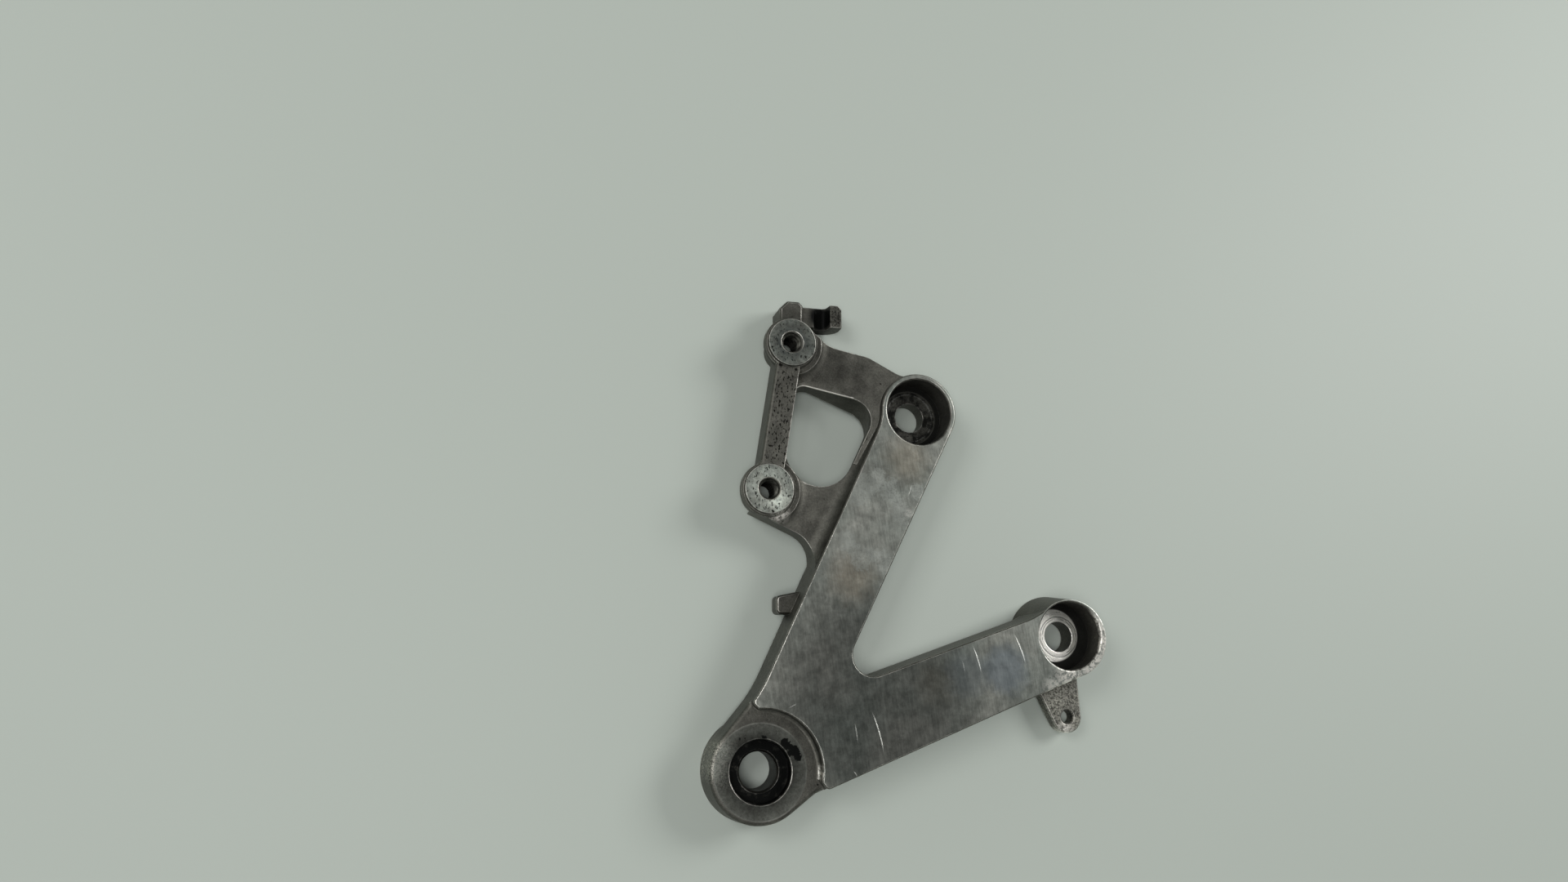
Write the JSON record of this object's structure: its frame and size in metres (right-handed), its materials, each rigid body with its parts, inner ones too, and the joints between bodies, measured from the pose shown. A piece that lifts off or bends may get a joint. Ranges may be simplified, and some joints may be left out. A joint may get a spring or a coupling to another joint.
{
  "type": "footrest bracket",
  "caption": "Cast motorcycle footrest bracket: two arms join counterbored frame mounts to the footpeg boss, and a windowed web carries heel guard bosses and a hose hook.",
  "frame": {"origin": "on the axis of the footpeg bore, level with the feet of the bosses that bear on the motorcycle's frame", "axes": "+Z out of the machined front face, +Y up along the arms towards the upper mount's side, +X towards the rear mount"},
  "size_m": [0.1212, 0.1504, 0.015],
  "materials": {
    "cast_aluminium": "as cast with a machined, worn front face and machined bores"
  },
  "bodies": {
    "root": {"bracket": "cast_aluminium"}
  },
  "joints": []
}
